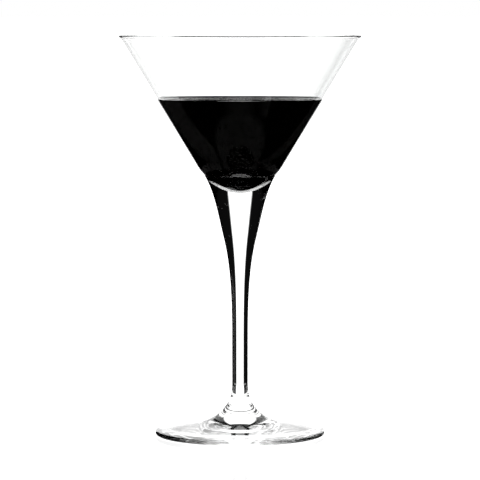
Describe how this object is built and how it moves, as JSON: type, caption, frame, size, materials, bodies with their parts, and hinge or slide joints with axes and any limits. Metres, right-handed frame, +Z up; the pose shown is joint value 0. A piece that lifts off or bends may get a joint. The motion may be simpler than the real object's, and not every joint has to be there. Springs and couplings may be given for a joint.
{
  "type": "martini glass",
  "caption": "Stemmed cocktail glass: thin conical bowl with a rounded floor on a solid flared stem and a low round foot, part filled with an opaque black drink.",
  "frame": {"origin": "centre of the plane that the foot stands on, on the glass's axis", "axes": "+Z up along the glass's axis, from the foot to the rim; the glass is round, so +X and +Y are any two directions square to it"},
  "size_m": [0.1092, 0.1092, 0.18],
  "materials": {
    "bowl_glass": "clear, thin blown wall, fire-polished rim",
    "stem_glass": "clear, solid, drawn and fire-polished",
    "foot_glass": "clear, solid, fire-polished, faintly rippled",
    "black_drink": "opaque black liquid with a still, mirror-smooth surface"
  },
  "bodies": {
    "root": {"bowl": "bowl_glass", "stem": "stem_glass", "foot": "foot_glass", "drink": "black_drink"}
  },
  "joints": []
}
